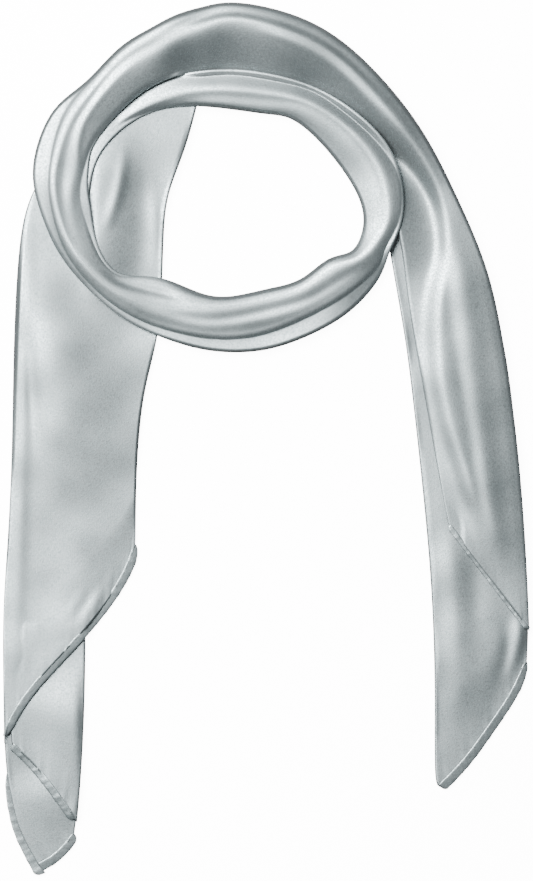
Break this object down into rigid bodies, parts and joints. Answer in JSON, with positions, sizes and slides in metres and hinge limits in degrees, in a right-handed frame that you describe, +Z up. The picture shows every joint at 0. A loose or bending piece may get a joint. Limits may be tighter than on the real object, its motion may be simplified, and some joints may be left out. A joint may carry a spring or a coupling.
{
  "type": "satin square scarf",
  "caption": "Satin square scarf folded on the bias into a soft band and laid flat in one loop: a ring that crosses over itself, and two hemmed tails of layered cloth.",
  "frame": {"origin": "centre of the bounding box on the surface that the scarf lies on", "axes": "+Z up from that surface, +Y towards the ring at the top of the laid scarf, +X towards the tail on the right"},
  "size_m": [0.2481, 0.4126, 0.0132],
  "materials": {
    "satin": "silver grey satin weave, smooth and lustrous, soft highlights along the folds",
    "hem_satin": "the same satin in a narrow rolled hem, slightly puckered, stitched in matching thread"
  },
  "bodies": {
    "root": {"top_arc": "satin", "front_band": "satin", "inner_arc": "satin", "right_tail_front": "satin", "right_tail_back": "satin", "left_tail_top": "satin", "left_tail_middle": "satin", "left_tail_under": "satin", "left_top_hem": "hem_satin", "left_middle_hem": "hem_satin", "left_corner_side_hem": "hem_satin", "left_corner_end_hem": "hem_satin", "right_front_hem": "hem_satin", "right_back_hem": "hem_satin"}
  },
  "joints": []
}
